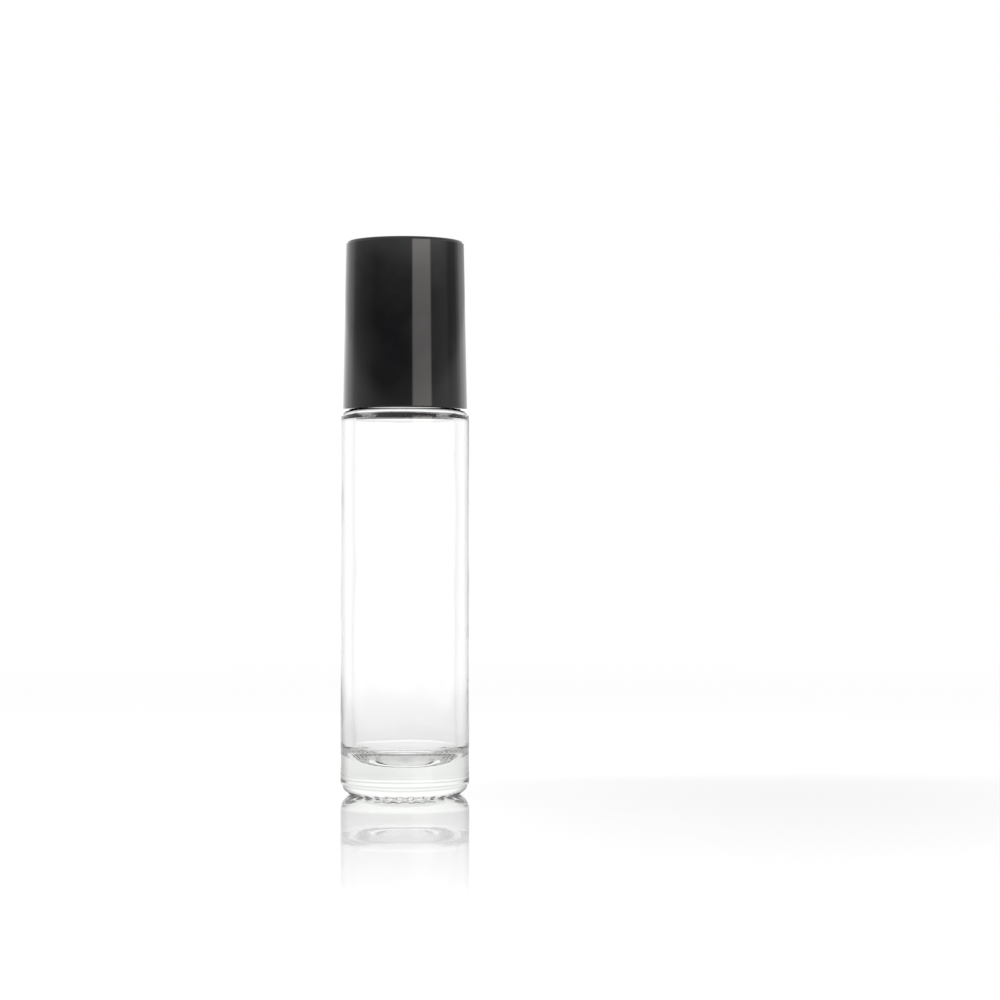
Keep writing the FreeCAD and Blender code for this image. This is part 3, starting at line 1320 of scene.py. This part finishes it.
@dataclass(frozen=True)
class MirrorFloor:
    """A pale, polished floor that mirrors the object near its foot, in millimetres.

    Attributes:
        backdrop: What clear glass shows far behind the object.
        radius: The floor's own radius.
        mirror_share: How much of the floor is a mirror at the object's foot.
        mirror_start: How far from the axis the mirror begins to fade.
        mirror_end: How far from the axis it is gone.
        mirror_through_glass: How much of the mirror clear glass shows.
        mirror_colour: The sRGB hex colour that the mirror gives to white light.
        near_white: The floor's own light round the object, which lets shadows show.
        near_grey: Its sRGB hex colour there, under the lamps.
        lit_beside: The share of the near floor's painted glow that clear glass shows beside the object, a
            painted shade that darkens the glass's foot at its sides.
        lit_behind: What that share gains straight behind the object.
        least_lit: The least that the share is anywhere.
        mirror_roughness: How rough the mirror is.
        segments: How many straight sides stand for the floor's round edge.
    """

    backdrop: Backdrop
    radius: float = 600.0
    mirror_share: float = 0.8
    mirror_start: float = 10.0
    mirror_end: float = 128.0
    mirror_through_glass: float = 0.25
    mirror_colour: str = "F1F1F1"
    near_white: float = 0.7
    near_grey: str = "A0A0A0"
    lit_beside: float = 0.42
    lit_behind: float = 0.6
    least_lit: float = 0.5
    mirror_roughness: float = 0.02
    segments: int = 96

    # By distance from the axis: how far a spot belongs to the floor round the object
    NEAR = Change(150.0, 450.0, 1.0, 0.0)
    # By distance from the axis: the near floor's painted glow that clear glass shows, and a painted pool of
    # light under the foot
    THROUGH_GLASS = (
        Change(10.0, 42.0, 0.66, 0.58), Change(62.0, 78.0, 0.0, -0.08),
        Change(85.0, 170.0, 0.0, 0.13), Change(160.0, 450.0, 0.0, 0.22),
    )
    # Painted pool of light under the glass's foot
    PAINTED_POOL_UNDER_FOOT = Change(4.0, 9.0, 0.5, 0.0)
    # By distance behind the axis: the near floor's painted glow in a shiny surface
    MIRRORED_NEAR = (Change(-60.0, 60.0, 0.25, 0.75), Change(130.0, 420.0, 0.0, 0.4))
    # By direction from the axis, -1 in front to 1 behind: the far floor's brightness in a shiny surface
    MIRRORED_FAR = Change(-0.5, 0.9, 0.4, 1.55)

    def _near_level(self, rays: Rays, y: Field, distance: Field) -> Field:
        """Give the floor's painted glow round the object."""
        # Painted shade: the floor that clear glass shows is darker beside the object than behind it
        lit = (y / distance * self.lit_behind + self.lit_beside).math("MAXIMUM", self.least_lit)
        lit = lit + self.PAINTED_POOL_UNDER_FOOT.along(distance)
        shown = rays.camera * self.near_white + rays.mirrored * total(y, *self.MIRRORED_NEAR)
        return shown + rays.through * lit * total(distance, *self.THROUGH_GLASS)

    def _far_level(self, rays: Rays, behind: Field) -> Field:
        """Give the far floor's brightness in a direction from the axis."""
        shown = rays.camera + rays.through * self.backdrop.share(behind) * self.backdrop.level
        return shown + rays.mirrored * self.MIRRORED_FAR.along(behind)

    def material(self) -> bpy.types.Material:
        """Make white acrylic, polished: a clean mirror over a soft white, with a painted glow and painted
        shade round the object's foot.
        """
        made = bpy.data.materials.new("polished_white_acrylic")
        made.use_nodes = True
        tree = made.node_tree
        tree.nodes.clear()
        x, y, _ = coordinates(tree, "Object")
        x, y = x / MM, y / MM
        distance = (x * x + y * y).math("SQRT")
        rays = Rays.of(tree)
        near = self.NEAR.along(distance)
        far_level = self._far_level(rays, y / distance)
        level = far_level * (near * -1 + 1) + self._near_level(rays, y, distance) * near
        inputs = {"Factor_Float": near, "A_Color": BLACK, "B_Color": linear(self.near_grey)}
        grey = add_node(tree, "ShaderNodeMix", {"data_type": "RGBA"}, inputs)
        matt = add_node(tree, "ShaderNodeBsdfDiffuse", inputs={"Color": grey.outputs[2]})
        white = add_node(tree, "ShaderNodeEmission", inputs={"Color": WHITE, "Strength": level})
        plain = add_node(tree, "ShaderNodeAddShader", inputs={0: matt.outputs[0], 1: white.outputs[0]})
        inputs = {"Color": linear(self.mirror_colour), "Roughness": self.mirror_roughness}
        mirror = add_node(tree, "ShaderNodeBsdfGlossy", inputs=inputs)
        fade = (distance - self.mirror_start) / (self.mirror_end - self.mirror_start)
        share = (fade * -1 + 1) * self.mirror_share
        share = share.math("MAXIMUM", 0.0).math("MINIMUM", self.mirror_share)
        share = share * (rays.through * (self.mirror_through_glass - 1) + 1)
        inputs = {0: share, 1: plain.outputs[0], 2: mirror.outputs[0]}
        mix = add_node(tree, "ShaderNodeMixShader", inputs=inputs)
        add_node(tree, "ShaderNodeOutputMaterial", inputs={"Surface": mix.outputs[0]})
        return made

    def build(self) -> None:
        """Lay the floor."""
        mesh = bpy.data.meshes.new("floor")
        edit = bmesh.new()
        bmesh.ops.create_circle(edit, cap_ends=True, segments=self.segments, radius=self.radius * MM)
        edit.to_mesh(mesh)
        edit.free()
        made = add_object("floor", mesh)
        mesh.materials.append(self.material())


@dataclass(frozen=True)
class Viewpoint:
    """The camera, where the photograph was taken from, in millimetres and in pixels of a square frame.

    Attributes:
        axis_pixel: Where the object's axis stands, across the frame.
        horizon_pixel: Where the horizon lies, down the frame.
        focal_pixels: The lens's focal length.
        frame_pixels: The frame's side.
        sensor: The sensor's side.
        distance: How far the camera is from the object's axis.
        height: How high it stands.
        nearest: Where its view begins.
        furthest: Where its view ends.
    """

    axis_pixel: float = 405.0
    horizon_pixel: float = 530.0
    focal_pixels: float = 2656.0
    frame_pixels: float = 1000.0
    sensor: float = 36.0
    distance: float = 413.0
    height: float = 41.0
    nearest: float = 10.0
    furthest: float = 10000.0

    def build(self) -> None:
        """Stand the camera and aim it."""
        data = bpy.data.cameras.new("camera")
        data.sensor_width = self.sensor
        data.lens = self.focal_pixels / self.frame_pixels * self.sensor
        data.clip_start, data.clip_end = self.nearest * MM, self.furthest * MM
        made = add_object("camera", data)
        middle = self.frame_pixels / 2
        yaw = math.atan((self.axis_pixel - middle) / self.focal_pixels)
        pitch = math.atan((self.horizon_pixel - middle) / self.focal_pixels)
        made.location = (0, -self.distance * MM, self.height * MM)
        made.rotation_euler = Euler((math.pi / 2 + pitch, 0, yaw))
        bpy.context.scene.camera = made


@dataclass(frozen=True)
class Lamp:
    """One soft lamp that faces the object's axis.

    Attributes:
        name: The lamp's name.
        place: Where it hangs, in millimetres.
        width: Its width, in millimetres.
        height: Its height, in millimetres.
        power: Its power, in watts.
    """

    name: str
    place: tuple[float, float, float]
    width: float
    height: float
    power: float

    def hang(self, aim_height: float) -> None:
        """Hang the lamp so that it faces the axis at this height, in millimetres."""
        data = bpy.data.lights.new(self.name, "AREA")
        data.shape, data.energy = "RECTANGLE", self.power
        data.size, data.size_y = self.width * MM, self.height * MM
        made = add_object(self.name, data)
        made.location = Vector(self.place) * MM
        aim = Vector((0, 0, aim_height * MM)) - made.location
        made.rotation_mode = "QUATERNION"
        made.rotation_quaternion = aim.to_track_quat("-Z", "Y")
        made.visible_camera = made.visible_glossy = made.visible_transmission = False


@dataclass(frozen=True)
class Studio:
    """The camera, a white room with a mirror-like floor, and two plain soft lamps."""

    viewpoint: Viewpoint = Viewpoint()
    backdrop: Backdrop = Backdrop()
    lamps: tuple[Lamp, ...] = (
        Lamp("soft_box", (380, -480, 330), 260, 520, 1.6),
        Lamp("overhead", (-150, -60, 700), 500, 500, 1.8),
    )

    def build(self) -> None:
        """Set up the whole studio."""
        bpy.context.scene.view_settings.view_transform = "Standard"
        self.viewpoint.build()
        Room(self.backdrop).build()
        MirrorFloor(self.backdrop).build()
        for lamp in self.lamps:
            lamp.hang(self.viewpoint.height)


def main() -> None:
    """Build the bottle piece by piece, then the studio."""
    logging.basicConfig(level=logging.INFO, format="%(message)s")
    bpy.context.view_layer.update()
    glass = GlassBottle.from_frame(Thread())
    glass.build(FirePolishedGlass())
    ball = RollerBall.from_frame()
    RollerFitment(glass, ball.height, ball.radius).build(NaturalPolyethylene())
    ball.build(LappedSteel())
    ScrewCap.from_frame(glass).build(GlossPolypropylene())
    CapLiner.from_frame().build(ClosedCellFoam())
    Studio().build()


if __name__ == "__main__":
    main()
